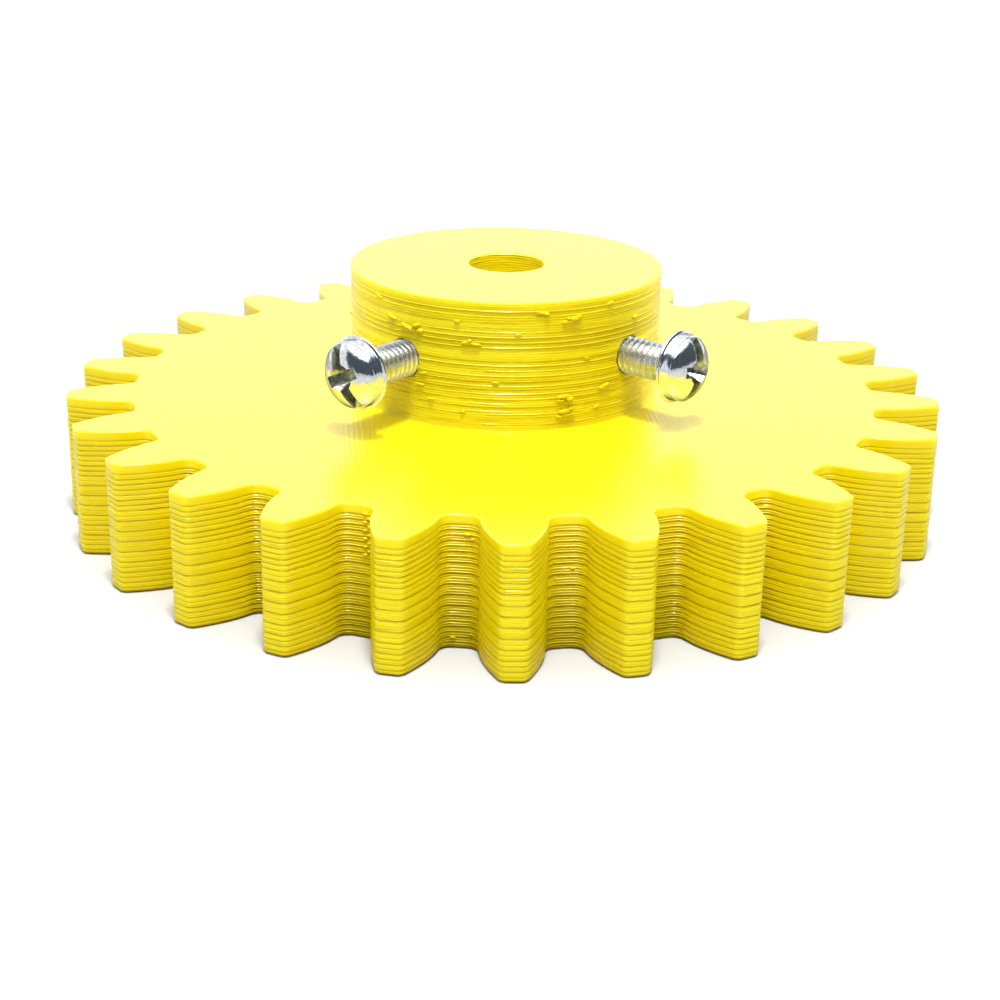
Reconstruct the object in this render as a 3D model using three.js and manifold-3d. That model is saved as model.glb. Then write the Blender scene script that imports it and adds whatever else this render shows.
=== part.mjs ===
// Extruder gear assembly: a 26-tooth spur gear in one piece with its hub, two M3
// pan-head clamp screws set radially in the hub, and the two M3 hex nuts they
// thread into, held captive in pockets inside the hub wall.
// Millimetres, +Z up along the gear's axis, z = 0 on the plate's underside.
import * as THREE from 'three';
import { mergeVertices } from 'three/addons/utils/BufferGeometryUtils.js';
import Module from 'manifold-3d';

const { degToRad } = THREE.MathUtils;

// ---- driving dimensions -------------------------------------------------
const TEETH = 26;
const GEAR_MODULE = 2.5;
const PRESSURE_ANGLE = degToRad(20);
const PITCH_R = GEAR_MODULE * TEETH / 2;
const TIP_R = PITCH_R + GEAR_MODULE;
const BASE_R = PITCH_R * Math.cos(PRESSURE_ANGLE);
const ROOT_R = 29.8;
const ROOT_FILLET = 0.875;
const FILLET_STEPS = [0, 30, 60];         // degrees round the fillet, from the root up
const TIP_ROUND = 0.30;                   // softened tip corners
const FLANK_RADII = [BASE_R + 0.14, 31.8, 33.2, TIP_R - TIP_ROUND];
const FIRST_TOOTH = 0.0292;               // radians from -Y towards +X

const PLATE_H = 10.0;
const EDGE_BREAK = 0.25;                  // chamfer round the plate, top and bottom
const HUB_R = 12.4;
const HUB_H = 10.0;                       // above the plate
const HUB_TOP = PLATE_H + HUB_H;
const HUB_EDGE = 0.20;                    // chamfer round the hub's top
const BORE_R = 3.0;
const SCREW_Z = PLATE_H + 4.85;           // just under half-way up the hub
const HOLE_R = 1.65;                      // clearance hole for the screw in the hub
const OVERRUN = 1;                        // how far cutters pass the surface they open

const THREAD_CREST_R = 1.46;
const THREAD_ROOT_R = 1.18;
const THREAD_PITCH = 0.5;
const THREAD_MARGIN = 0.45;               // from the crests to each end of the shank
const SHANK_L = 12.0;                     // under the head
const SHANK_CHAMFER = { inset: 0.1, length: 0.15 };
const SHANK_OVERLAP = 0.3;                // length of shank inside the head

const HEAD_R = 2.8;
const HEAD_H = 2.15;
// head's side and dome: [inset from HEAD_R, height above the underside]
const HEAD_OUTLINE = [
  [0.08, 0], [0, 0.10], [0, 0.30], [0.07, 0.50], [0.14, 0.85],
  [0.40, 1.28], [0.88, 1.67], [1.60, HEAD_H - 0.16],
];
const SLOT_W = 0.8;
const SLOT_DEPTH = 1.0;
const CROSS_W = 0.75;
const CROSS_REACH = 1.65;                 // from the screw's axis to an arm's end
const CROSS_DEPTH = 1.45;

const NUT_AF = 5.5;                       // across flats
const NUT_H = 2.4;
const NUT_BORE_R = 1.60;
const NUT_LEAD = 0.25;                    // 45 degree countersink at each face
const NUT_LEAD_OVERRUN = 0.1;
const NUT_CORNER_MARGIN = 0.02;           // rounding body's reach past the corners
const NUT_IN_R = 6.6;                     // nut's inner face, from the gear's axis
const POCKET_GAP = 0.3;                   // room round the nut in its pocket

// azimuth: degrees from -Y towards +X; headAt: radius of the head's underside from
// the gear's axis; slotTurn: degrees clockwise from upright, seen from outside
const SCREWS = [
  { side: 'left', azimuth: -38.2, headAt: 17.46, slotTurn: -26.4 },
  { side: 'right', azimuth: 51.0, headAt: 16.85, slotTurn: 6.6 },
];

// ---- solids from three.js geometries ------------------------------------
const manifold = await Module();
manifold.setup();

function solid(geometry, matrix = new THREE.Matrix4()) {
  // only positions stay, so that vertices along seams can merge
  geometry.deleteAttribute('normal');
  geometry.deleteAttribute('uv');
  geometry.applyMatrix4(matrix);
  const merged = mergeVertices(geometry, 1e-5);
  return new manifold.Manifold(new manifold.Mesh({
    numProp: 3,
    vertProperties: new Float32Array(merged.attributes.position.array),
    triVerts: new Uint32Array(merged.index.array),
  }));
}

function geometryOf(body) {
  const { vertProperties, triVerts } = body.getMesh();
  const geometry = new THREE.BufferGeometry();
  const positions = new THREE.BufferAttribute(new Float32Array(vertProperties), 3);
  geometry.setAttribute('position', positions);
  geometry.setIndex(new THREE.BufferAttribute(new Uint32Array(triVerts), 1));
  geometry.computeVertexNormals();
  return geometry;
}

// a lathe turned about +Z: profile rows are [radius, z], from axis to axis
function turned(profile, segments) {
  const points = profile.map(([radius, z]) => new THREE.Vector2(radius, z));
  return new THREE.LatheGeometry(points, segments).rotateX(Math.PI / 2);
}

// a lower half profile and its mirror image above z = 0
function mirroredUp(lower) {
  return [...lower, ...lower.map(([radius, z]) => [radius, -z]).reverse()];
}

function cylinderZ(radius, bottom, top, segments) {
  return new THREE.CylinderGeometry(radius, radius, top - bottom, segments)
    .rotateX(Math.PI / 2)
    .translate(0, 0, (bottom + top) / 2);
}

function hexCornerR(acrossFlats) {
  return acrossFlats / 2 / Math.cos(Math.PI / 6);
}

// local +Z outward along the screw, local +Y up, origin on the gear's axis
function radialFrame(azimuthDeg) {
  const azimuth = degToRad(azimuthDeg);
  const outward = new THREE.Vector3(Math.sin(azimuth), -Math.cos(azimuth), 0);
  const sideways = new THREE.Vector3(Math.cos(azimuth), Math.sin(azimuth), 0);
  const up = new THREE.Vector3(0, 0, 1);
  return new THREE.Matrix4().makeBasis(sideways, up, outward).setPosition(0, 0, SCREW_Z);
}

// ---- gear outline: involute flanks, round root fillets ------------------
const involute = (angle) => Math.tan(angle) - angle;

// half the angle a tooth fills at this radius, which is BASE_R or more
function toothHalfAngle(radius) {
  return Math.PI / (2 * TEETH) + involute(PRESSURE_ANGLE) - involute(Math.acos(BASE_R / radius));
}

// one side of a tooth from root to tip: [angle from the tooth's centre, radius]
function toothSide() {
  const footAngle = toothHalfAngle(BASE_R);
  const tipAngle = toothHalfAngle(TIP_R);
  const fillet = FILLET_STEPS.map(degToRad).map((step) => [
    footAngle + ROOT_FILLET * (1 - Math.sin(step)) / ROOT_R,
    ROOT_R + ROOT_FILLET * (1 - Math.cos(step)),
  ]);
  const flank = FLANK_RADII.map((radius) => [toothHalfAngle(radius), radius]);
  // the corner's middle point, then the point where it meets the tip circle
  const corner = [
    [tipAngle - TIP_ROUND * 0.25 / TIP_R, TIP_R - TIP_ROUND * 0.28],
    [tipAngle - TIP_ROUND / TIP_R, TIP_R],
  ];
  return [...fillet, ...flank, ...corner];
}

function gearShape() {
  const rising = toothSide().map(([angle, radius]) => [-angle, radius]);
  const falling = toothSide().reverse();
  const tooth = [...rising, [0, TIP_R], ...falling];
  const points = [];
  for (let k = 0; k < TEETH; k++) {
    const centre = FIRST_TOOTH + k * 2 * Math.PI / TEETH;
    for (const [offset, radius] of tooth) {
      const angle = centre + offset;
      points.push(new THREE.Vector2(radius * Math.sin(angle), -radius * Math.cos(angle)));
    }
  }
  return new THREE.Shape(points);
}

// ---- gear and hub --------------------------------------------------------
function gearPlate() {
  return new THREE.ExtrudeGeometry(gearShape(), {
    depth: PLATE_H - 2 * EDGE_BREAK,
    steps: 1,
    curveSegments: 1,
    bevelEnabled: true,
    bevelSegments: 1,
    bevelThickness: EDGE_BREAK,
    bevelSize: EDGE_BREAK,
    bevelOffset: -EDGE_BREAK,
  }).translate(0, 0, EDGE_BREAK);
}

function gearAndHub() {
  const hubBottom = PLATE_H / 2;          // sunk into the plate so the two join
  const hub = turned([
    [0, hubBottom], [HUB_R, hubBottom], [HUB_R, HUB_TOP - HUB_EDGE],
    [HUB_R - HUB_EDGE, HUB_TOP], [0, HUB_TOP],
  ], 120);
  let body = solid(gearPlate()).add(solid(hub));
  body = body.subtract(solid(cylinderZ(BORE_R, -OVERRUN, HUB_TOP + OVERRUN, 64)));

  const pocketR = hexCornerR(NUT_AF + 2 * POCKET_GAP);
  const pocketInner = NUT_IN_R - POCKET_GAP;
  const pocketOuter = NUT_IN_R + NUT_H + POCKET_GAP;
  for (const { azimuth } of SCREWS) {
    const frame = radialFrame(azimuth);
    body = body.subtract(solid(cylinderZ(HOLE_R, 0, HUB_R + OVERRUN, 32), frame));
    body = body.subtract(solid(cylinderZ(pocketR, pocketInner, pocketOuter, 6), frame));
  }
  return geometryOf(body);
}

// ---- M3 pan-head screw: z = 0 under the head, thread towards -Z ----------
// the thread is a row of ridges, one each pitch
function screwShank() {
  const profile = [
    [0, -SHANK_L],
    [THREAD_ROOT_R - SHANK_CHAMFER.inset, -SHANK_L],
    [THREAD_ROOT_R, -SHANK_L + SHANK_CHAMFER.length],
  ];
  for (let z = -SHANK_L + THREAD_MARGIN; z < -THREAD_MARGIN; z += THREAD_PITCH) {
    profile.push([THREAD_CREST_R, z], [THREAD_ROOT_R, z + THREAD_PITCH / 2]);
  }
  profile.push([THREAD_ROOT_R, SHANK_OVERLAP], [0, SHANK_OVERLAP]);
  return solid(turned(profile, 18));
}

function screwHead() {
  const outline = HEAD_OUTLINE.map(([inset, z]) => [HEAD_R - inset, z]);
  return solid(turned([[0, 0], ...outline, [0, HEAD_H]], 40));
}

// box that cuts to a depth below the top of the head
function driveCutter(width, length, depth, turn) {
  const height = 2;
  const box = new THREE.BoxGeometry(width, length, height);
  box.translate(0, 0, HEAD_H - depth + height / 2);
  return solid(box, turn);
}

function screw(slotTurn) {
  const turn = new THREE.Matrix4().makeRotationZ(-degToRad(slotTurn));
  // full-width slot, then the cross: one arm across the slot and one along it
  return geometryOf(screwShank().add(screwHead())
    .subtract(driveCutter(SLOT_W, 3 * HEAD_R, SLOT_DEPTH, turn))
    .subtract(driveCutter(2 * CROSS_REACH, CROSS_W, CROSS_DEPTH, turn))
    .subtract(driveCutter(CROSS_W, 2 * CROSS_REACH, CROSS_DEPTH, turn)));
}

// ---- M3 hex nut along +Z, centred on z = 0, corners towards +Y and -Y ----
function nut() {
  const cornerR = hexCornerR(NUT_AF);
  const bottom = -NUT_H / 2;
  const chamfer = (cornerR - NUT_AF / 2) * 1.15;
  const chamferDrop = chamfer * Math.tan(Math.PI / 6);
  const hex = cylinderZ(cornerR, bottom, -bottom, 6);
  // a chamfered disc that takes off the hexagon's corners
  const rounding = turned(mirroredUp([
    [0, bottom],
    [cornerR - chamfer, bottom],
    [cornerR + NUT_CORNER_MARGIN, bottom + chamferDrop],
  ]), 36);
  const mouthR = NUT_BORE_R + NUT_LEAD + NUT_LEAD_OVERRUN;
  const hole = turned(mirroredUp([
    [0, bottom - NUT_LEAD_OVERRUN],
    [mouthR, bottom - NUT_LEAD_OVERRUN],
    [NUT_BORE_R, bottom + NUT_LEAD],
  ]), 28);
  return geometryOf(solid(hex).intersect(solid(rounding)).subtract(solid(hole)));
}

// ---- materials -----------------------------------------------------------
function yellowPlastic() {
  return new THREE.MeshStandardMaterial({ color: 0xf2dd14, roughness: 0.38, metalness: 0.0 });
}

function zinc() {
  return new THREE.MeshStandardMaterial({ color: 0xc9ccd0, roughness: 0.22, metalness: 1.0 });
}

// ---- assembly ------------------------------------------------------------
function addMesh(parent, name, geometry, material, z = 0) {
  const mesh = new THREE.Mesh(geometry, material);
  mesh.name = name;
  mesh.position.z = z;
  parent.add(mesh);
}

const assembly = new THREE.Group();
assembly.name = 'extruder_gear_assembly';
addMesh(assembly, 'gear_and_hub', gearAndHub(), yellowPlastic());

for (const { side, azimuth, headAt, slotTurn } of SCREWS) {
  const clamp = new THREE.Group();
  clamp.name = `clamp_${side}`;
  clamp.applyMatrix4(radialFrame(azimuth));
  addMesh(clamp, `clamp_screw_${side}`, screw(slotTurn), zinc(), headAt);
  addMesh(clamp, `captive_nut_${side}`, nut(), zinc(), NUT_IN_R + NUT_H / 2);
  assembly.add(clamp);
}

export default assembly;
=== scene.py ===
"""A 3D-printed yellow spur gear whose hub holds two pan-head clamp screws and captive nuts.

The gear lies on the floor, z = 0, with its axis on +Z and the hub upwards. The camera looks
from the front, -Y. Azimuths run from -Y, positive towards +X. Lengths are in mm and are
multiplied by MM where they go into Blender, which works in metres.
"""
import bpy
import bmesh
import math
from types import SimpleNamespace
import numpy as np
from mathutils import Matrix, Vector


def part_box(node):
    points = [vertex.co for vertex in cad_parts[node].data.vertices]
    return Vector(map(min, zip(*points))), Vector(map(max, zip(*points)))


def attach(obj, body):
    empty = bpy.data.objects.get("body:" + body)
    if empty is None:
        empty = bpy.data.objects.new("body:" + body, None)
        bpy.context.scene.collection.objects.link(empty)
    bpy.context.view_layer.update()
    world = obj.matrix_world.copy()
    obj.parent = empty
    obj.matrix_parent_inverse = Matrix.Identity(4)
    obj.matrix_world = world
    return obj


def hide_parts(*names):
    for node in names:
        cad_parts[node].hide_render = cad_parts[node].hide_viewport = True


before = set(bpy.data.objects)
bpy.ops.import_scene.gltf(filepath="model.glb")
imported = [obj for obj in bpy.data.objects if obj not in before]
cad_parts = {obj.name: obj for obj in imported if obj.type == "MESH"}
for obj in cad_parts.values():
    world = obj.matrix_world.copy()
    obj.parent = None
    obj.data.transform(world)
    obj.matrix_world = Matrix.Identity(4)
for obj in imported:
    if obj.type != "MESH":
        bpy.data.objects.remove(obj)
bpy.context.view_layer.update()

MM = 0.001
scene = bpy.context.scene

# ------------------------------------------------------------------ driving sizes, mm
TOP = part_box("gear_and_hub")[1].z / MM     # hub end face
LAYER = 0.2                                # printed layer height
HALF_LAYER = LAYER / 2
HUB_H = 10.0
PLATE_H = TOP - HUB_H                      # toothed plate
TEETH, MODULE = 26, 2.5
PITCH_R = TEETH * MODULE / 2
TIP_R = PITCH_R + MODULE
ROOT_R = 29.8
TOOTH_PHASE = 0.0292                       # azimuth of the first tooth, radians
FILLET, TIP_ROUND = 0.875, 0.30
HUB_R, BORE_R = 12.4, 3.0
EDGE_ROUND = 0.14                          # softened top edges of plate and hub

SCREW_Z = PLATE_H + 4.85
HOLE_R = 1.53
NUT_FLATS, NUT_HALF_H = 5.5, 1.2
NUT_OUT = 6.6                              # inner face of the nut, from the gear's axis
POCKET_GAP = 0.3                           # between each flat of the nut and its pocket
POCKET_FROM, POCKET_TO = 6.3, 9.3
# side: azimuth, turn of the slot, turn of the thread, degrees
SCREWS = {"left": (-38.2, -26.4, 40), "right": (51.0, 6.6, 205)}


# ------------------------------------------------------------------ helpers
def new_object(name, data):
    ob = bpy.data.objects.new(name, data)
    scene.collection.objects.link(ob)
    return ob


def new_mesh(name, verts, faces, smooth=True):
    """An object from vertices in mm."""
    me = bpy.data.meshes.new(name)
    me.from_pydata((np.asarray(verts, float) * MM).tolist(), [], faces)
    me.validate()
    if smooth:
        me.shade_smooth()
    return new_object(name, me)


def object_from_bmesh(name, bm):
    me = bpy.data.meshes.new(name)
    bm.to_mesh(me)
    bm.free()
    return new_object(name, me)


def make_real(ob):
    """Bakes the object's modifiers into its mesh."""
    bpy.context.view_layer.update()
    depsgraph = bpy.context.evaluated_depsgraph_get()
    me = bpy.data.meshes.new_from_object(ob.evaluated_get(depsgraph))
    old = ob.data
    ob.modifiers.clear()
    ob.data = me
    bpy.data.meshes.remove(old)


def boolean(ob, other, operation):
    """Combines other into ob and removes it."""
    modifier = ob.modifiers.new("cut", "BOOLEAN")
    modifier.operation = operation
    modifier.solver = "MANIFOLD"
    modifier.object = other
    make_real(ob)
    if len(ob.data.polygons) == 0:
        raise RuntimeError(f"boolean {operation} emptied {ob.name}")
    bpy.data.objects.remove(other)


def turned(name, profile, segments):
    """A closed solid of revolution about +Z; profile runs from axis to axis, (r, z), upwards."""
    verts, faces, rings = [], [], []
    angles = np.arange(segments) * 2 * np.pi / segments
    for r, z in profile:
        start = len(verts)
        if r < 1e-9:
            verts.append((0, 0, z))
        else:
            verts += [(r * math.cos(a), r * math.sin(a), z) for a in angles]
        rings.append(list(range(start, len(verts))))
    for lo, hi in zip(rings[:-1], rings[1:]):
        for i in range(segments):
            j = (i + 1) % segments
            if len(lo) == 1:
                faces.append((lo[0], hi[j], hi[i]))
            elif len(hi) == 1:
                faces.append((lo[i], lo[j], hi[0]))
            else:
                faces.append((lo[i], lo[j], hi[j], hi[i]))
    return new_mesh(name, verts, faces)


def prism(name, points, z0, z1, top_points=None):
    """A straight solid over an outline, or a tapered one where the top outline differs."""
    n = len(points)
    verts = [(x, y, z0) for x, y in points] + [(x, y, z1) for x, y in top_points or points]
    faces = [tuple(range(n))[::-1], tuple(range(n, 2 * n))]
    faces += [(i, (i + 1) % n, n + (i + 1) % n, n + i) for i in range(n)]
    return new_mesh(name, verts, faces, smooth=False)


def hexagon(corner_r):
    angles = np.arange(6)[::-1] * math.pi / 3
    return [(corner_r * math.sin(a), corner_r * math.cos(a)) for a in angles]


def rectangle(half_x, half_y):
    return [(-half_x, -half_y), (half_x, -half_y), (half_x, half_y), (-half_x, half_y)]


def outward(azimuth):
    a = math.radians(azimuth)
    return Vector((math.sin(a), -math.cos(a), 0))


def wall_frame(out, origin):
    """Local +Z along out, +Y up, +X along the wall."""
    side = Vector((-out.y, out.x, 0))
    matrix = Matrix((side, (0, 0, 1), out)).transposed().to_4x4()
    matrix.translation = origin * MM
    return matrix


def screw_frame(azimuth, distance=0.0):
    """Local +Z outward along the screw, +Y up, at the screws' height."""
    out = outward(azimuth)
    return wall_frame(out, out * distance + Vector((0, 0, SCREW_Z)))


def z_rotation(degrees):
    return Matrix.Rotation(math.radians(degrees), 4, "Z")


def wave(rng, count, lowest, highest):
    """A smooth periodic random function of turn fraction, amplitude about 1."""
    cycles = rng.randint(lowest, highest, count)
    phases = rng.rand(count) * 2 * np.pi
    heights = rng.rand(count) + 0.3
    heights /= np.sqrt((heights ** 2).sum() / 2)

    def value(turn_fraction):
        angle = 2 * np.pi * np.outer(turn_fraction, cycles) + phases[None, :]
        return (heights[None, :] * np.sin(angle)).sum(1)
    return value


# ------------------------------------------------------------------ tooth outline
def tooth_outline():
    """Outline points and outward normals of the toothed plate, 24 points a tooth."""
    pressure = math.radians(20)
    base_r = PITCH_R * math.cos(pressure)

    def involute(angle):
        return math.tan(angle) - angle

    def half_angle(r):
        """Half the angle a tooth takes up at radius r."""
        roll = involute(math.acos(min(1, base_r / r)))
        return math.pi / (2 * TEETH) + involute(pressure) - roll

    # one side of a tooth from root to tip: angle from its middle, radius
    side = []
    for degrees in (0, 22.5, 45, 67.5):
        a = math.radians(degrees)
        side.append((half_angle(base_r) + FILLET * (1 - math.sin(a)) / ROOT_R,
                     ROOT_R + FILLET * (1 - math.cos(a))))
    for r in (base_r + 0.14, 31.4, 32.3, 33.2, 34.1, TIP_R - TIP_ROUND):
        side.append((half_angle(r), r))
    # share of the tip rounding taken off the width and off the radius
    for narrower, lower in ((0.25, 0.28), (1.0, 0.0)):
        side.append((half_angle(TIP_R) - TIP_ROUND * narrower / TIP_R,
                     TIP_R - TIP_ROUND * lower))
    tooth = [(-a, r) for a, r in side] + side[::-1]
    points = []
    for k in range(TEETH):
        middle = TOOTH_PHASE + k * 2 * math.pi / TEETH
        points += [(r * math.sin(middle + a), -r * math.cos(middle + a)) for a, r in tooth]
    points = np.array(points)
    along = np.roll(points, -1, 0) - np.roll(points, 1, 0)
    normals = np.c_[along[:, 1], -along[:, 0]]
    normals /= np.linalg.norm(normals, axis=1)[:, None]
    return points, normals


OUTLINE, OUTLINE_NORMALS = tooth_outline()
OUTLINE_TURN = np.unwrap(np.arctan2(OUTLINE[:, 0], -OUTLINE[:, 1]))
START_TURN = OUTLINE_TURN[0]

# points round a ring, fewer towards the axis
N_OUTLINE = len(OUTLINE)
N_HUB = N_OUTLINE // 3
N_INNER = N_OUTLINE // 6
N_BORE = N_OUTLINE // 12


def circle(r, n):
    a = START_TURN + np.arange(n) * 2 * np.pi / n
    return np.c_[r * np.sin(a), -r * np.cos(a)]


# ------------------------------------------------------------------ printed layers
# depth of the valleys that show as a dark line, by layers from the bed
PLATE_DEEP = {
    2: .05, 4: .075, 6: .065, 8: .09, 10: .055, 12: .09, 14: .04, 16: .095, 20: .10,
    24: .095, 28: .095, 30: .04, 32: .10, 34: .085, 36: .095, 38: .075, 40: .09, 42: .09,
    44: .085, 46: .055}
PLATE_SHALLOW = 0.026                      # depth of every other valley
# how far some hub layers stand back from their neighbours, by layers from the plate
HUB_BACK = {
    2: .040, 3: .055, 4: .040, 7: .030, 8: .060, 11: .105, 13: .035, 15: .085, 18: .065,
    22: .030, 23: .050, 24: .050, 26: .035, 29: .040, 30: .080, 31: .105, 33: .095,
    35: .085, 37: .045, 39: .030, 40: .040, 41: .065, 45: .085, 47: .040}
# how strongly the layers stand out from a tooth's root to its tip
HALF_RELIEF = [1.72, 1.60, 1.32, 1.04, 0.84, 0.76, 0.74, 0.72, 0.72, 0.74, 0.78, 0.82]
RELIEF = np.tile(np.array(HALF_RELIEF + HALF_RELIEF[::-1]), TEETH)
RIPPLE = 0.006                             # sideways unevenness of a layer


def bulge(depth):
    """Height of a layer's widest point over its underside, from the valley above it."""
    return 0.116 if depth >= 0.08 else 0.132 if depth >= 0.05 else 0.15


def plate_offset(z, layers, turn_fraction):
    """Inward offset of the plate's wall at height z, per outline point."""
    level = z / LAYER
    valley = round(level)
    calm = 0.35 if z > PLATE_H - 0.7 else 1.0
    if abs(level - valley) < 1e-6:
        below = layers[max(0, valley - 1)](turn_fraction)
        above = layers[min(len(layers) - 1, valley)](turn_fraction)
        depth = PLATE_DEEP.get(valley, PLATE_SHALLOW) * calm * (1 + 0.10 * below)
        return 0.5 * (below + above) * RIPPLE * calm + depth * RELIEF
    i = int(level)
    set_back = 0.010 if i % 4 == 3 else 0.0
    return layers[i](turn_fraction) * RIPPLE * calm + set_back * calm * RELIEF


# ------------------------------------------------------------------ gear body
class Skin:
    """A mesh grown ring by ring."""

    def __init__(self):
        self.verts, self.faces, self.last = [], [], None

    def loose_ring(self, xy, z):
        start = len(self.verts)
        self.verts.extend([(x, y, z) for x, y in xy])
        return list(range(start, len(self.verts)))

    def ring(self, xy, z):
        """Adds a ring and joins it to the one before."""
        new = self.loose_ring(xy, z)
        if self.last:
            self.join(self.last, new)
        self.last = new
        return new

    def join(self, a, b):
        """Joins ring a to ring b, which has as many points or a whole fraction of them."""
        if len(a) == len(b):
            for i in range(len(a)):
                j = (i + 1) % len(a)
                self.faces.append((a[i], a[j], b[j], b[i]))
            return
        ratio = len(a) // len(b)
        half = (ratio + 1) // 2
        for j in range(len(b)):
            j2 = (j + 1) % len(b)
            run = [a[(j * ratio + i) % len(a)] for i in range(ratio + 1)]
            for i in range(ratio):
                self.faces.append((run[i], run[i + 1], b[j] if i < half else b[j2]))
            self.faces.append((run[half], b[j2], b[j]))


def grow_plate_wall(skin):
    """The toothed wall from the bed up; returns its lowest ring."""
    rng = np.random.RandomState(11)
    layers = [wave(rng, 14, 26, 420) for _ in range(int(round(PLATE_H / LAYER)))]
    turn_fraction = np.arange(N_OUTLINE) / N_OUTLINE

    def wall(z, inset):
        if 0.15 < z < PLATE_H - 0.05:
            inset = inset + plate_offset(z, layers, turn_fraction)
        return OUTLINE - OUTLINE_NORMALS * np.asarray(inset).reshape(-1, 1)

    # rounded foot: height, inset
    foot, *rest = [skin.ring(wall(z, inset), z)
                   for z, inset in ((0.0, 0.34), (0.04, 0.20), (0.12, 0.08))]
    # a ring in each valley and one on each bulge
    k = 2
    while k * HALF_LAYER < PLATE_H - 0.15:
        if k % 2 == 0:
            z = k * HALF_LAYER
        else:
            z = (k - 1) * HALF_LAYER + bulge(PLATE_DEEP.get((k + 1) // 2, PLATE_SHALLOW))
        inset = max(0.0, 0.03 - 0.1 * (z - 0.2))
        skin.ring(wall(z, inset), round(z, 6))
        k += 1
    for degrees in (0, 30, 60, 90):
        a = math.radians(degrees)
        skin.ring(wall(PLATE_H, EDGE_ROUND * (1 - math.cos(a))),
                  PLATE_H - EDGE_ROUND + EDGE_ROUND * math.sin(a))
    return foot


# a circle inside the teeth whose points lie on the same azimuths as the outline's
UNDER_TEETH = np.c_[28.6 * np.sin(OUTLINE_TURN), -28.6 * np.cos(OUTLINE_TURN)]


def grow_plate_top(skin):
    skin.ring(OUTLINE - OUTLINE_NORMALS * (EDGE_ROUND + 0.06), PLATE_H)
    skin.ring(UNDER_TEETH, PLATE_H)
    skin.ring(circle(27.2, N_OUTLINE), PLATE_H)
    for r in (25.0, 18.0, HUB_R + 0.16):
        skin.ring(circle(r, N_HUB), PLATE_H)


def grow_hub(skin):
    """Hub wall, its rounded edge and its end face down to the bore."""
    n_layers = int(round(HUB_H / LAYER))
    rng = np.random.RandomState(5)
    slow = [wave(rng, 6, 2, 14) for _ in range(n_layers)]
    fast = [wave(rng, 10, 20, 100) for _ in range(n_layers)]
    jitter = rng.randn(n_layers) * 0.007
    gap = 0.016 + 0.026 * rng.rand(n_layers + 1) ** 2
    turn_fraction = np.arange(N_HUB) / N_HUB
    azimuth = np.degrees(START_TURN + turn_fraction * 2 * np.pi)
    azimuth = (azimuth + 180) % 360 - 180
    # steadier round the two sides
    calm = 1 - 0.40 * np.exp(-((np.abs(azimuth) - 82) / 18) ** 2)

    def layer_offset(i):
        i = min(max(i, 0), n_layers - 1)
        # the set-back of a layer comes and goes round the hub
        vary = np.clip(0.85 + 0.30 * slow[i](turn_fraction), 0.15, 1.40)
        set_back = 0.82 * HUB_BACK.get(i, 0.0) * vary
        return (jitter[i] + set_back + fast[i](turn_fraction) * 0.0045) * calm

    skin.ring(circle(HUB_R + 0.03, N_HUB), PLATE_H + 0.02)
    k = 1
    while k * HALF_LAYER < HUB_H - EDGE_ROUND - 0.02:
        layer = k // 2
        if k % 2 == 0:
            height = k * HALF_LAYER
            offset = np.maximum(layer_offset(layer - 1), layer_offset(layer)) + gap[layer]
        else:
            height = (k - 1) * HALF_LAYER + 0.13
            offset = layer_offset(layer)
        if k == 1:
            offset = offset * 0.3
        if height > HUB_H - 0.45:
            offset = offset * 0.6
        radii = HUB_R - offset
        skin.ring(circle(1.0, N_HUB) * radii[:, None], round(PLATE_H + height, 6))
        k += 1
    for degrees in (0, 22, 45, 68, 90):
        a = math.radians(degrees)
        skin.ring(circle(HUB_R - EDGE_ROUND * (1 - math.cos(a)), N_HUB),
                  PLATE_H + HUB_H - EDGE_ROUND + EDGE_ROUND * math.sin(a))
    for r, n in ((HUB_R - EDGE_ROUND - 0.08, N_HUB), (8.0, N_INNER),
                 (BORE_R + 0.45, N_BORE), (BORE_R + 0.16, N_BORE)):
        skin.ring(circle(r, n), TOP)


def grow_bore(skin):
    """Bore wall from top to bottom, each layer a shallow bead; returns its lowest ring."""
    fine_above = 15.0                      # below this height the rings are sparser
    turn_fraction = np.arange(N_BORE) / N_BORE
    rng = np.random.RandomState(3)
    skin.ring(circle(BORE_R + 0.05, N_BORE), TOP - 0.05)
    for k in range(int(round(TOP / LAYER)) * 2 - 1, 0, -1):
        z = k * HALF_LAYER
        if z < fine_above and k % 4 != 0:
            continue
        ripple = wave(rng, 4, 2, 12)(turn_fraction) * RIPPLE
        groove = k % 2 == 0 if z >= fine_above else k % 8 == 0
        radii = BORE_R + 0.008 + (0.035 if groove else 0.0) + ripple
        skin.ring(circle(1.0, N_BORE) * radii[:, None], round(z, 6))
    return skin.ring(circle(BORE_R + 0.10, N_BORE), 0.0)


def close_underside(skin, foot, bore_foot):
    inner = skin.loose_ring(circle(8.0, N_INNER), 0.0)
    middle = skin.loose_ring(circle(25.0, N_HUB), 0.0)
    outer = skin.loose_ring(circle(27.2, N_OUTLINE), 0.0)
    under_teeth = skin.loose_ring(UNDER_TEETH, 0.0)
    first = len(skin.faces)
    for a, b in ((under_teeth, outer), (foot, under_teeth), (outer, middle),
                 (middle, inner), (inner, bore_foot)):
        skin.join(a, b)
    # these faces look down
    skin.faces[first:] = [face[::-1] for face in skin.faces[first:]]


def build_gear():
    skin = Skin()
    foot = grow_plate_wall(skin)
    grow_plate_top(skin)
    grow_hub(skin)
    bore_foot = grow_bore(skin)
    close_underside(skin, foot, bore_foot)
    return new_mesh("printed_gear_body", skin.verts, skin.faces)


gear = build_gear()


# ------------------------------------------------------------------ drops of plastic
DROP_SUNK = 0.08                           # how deep a drop sits in the wall
DROP_BLUNT = 0.72                          # exponent that squares up the ball

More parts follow.
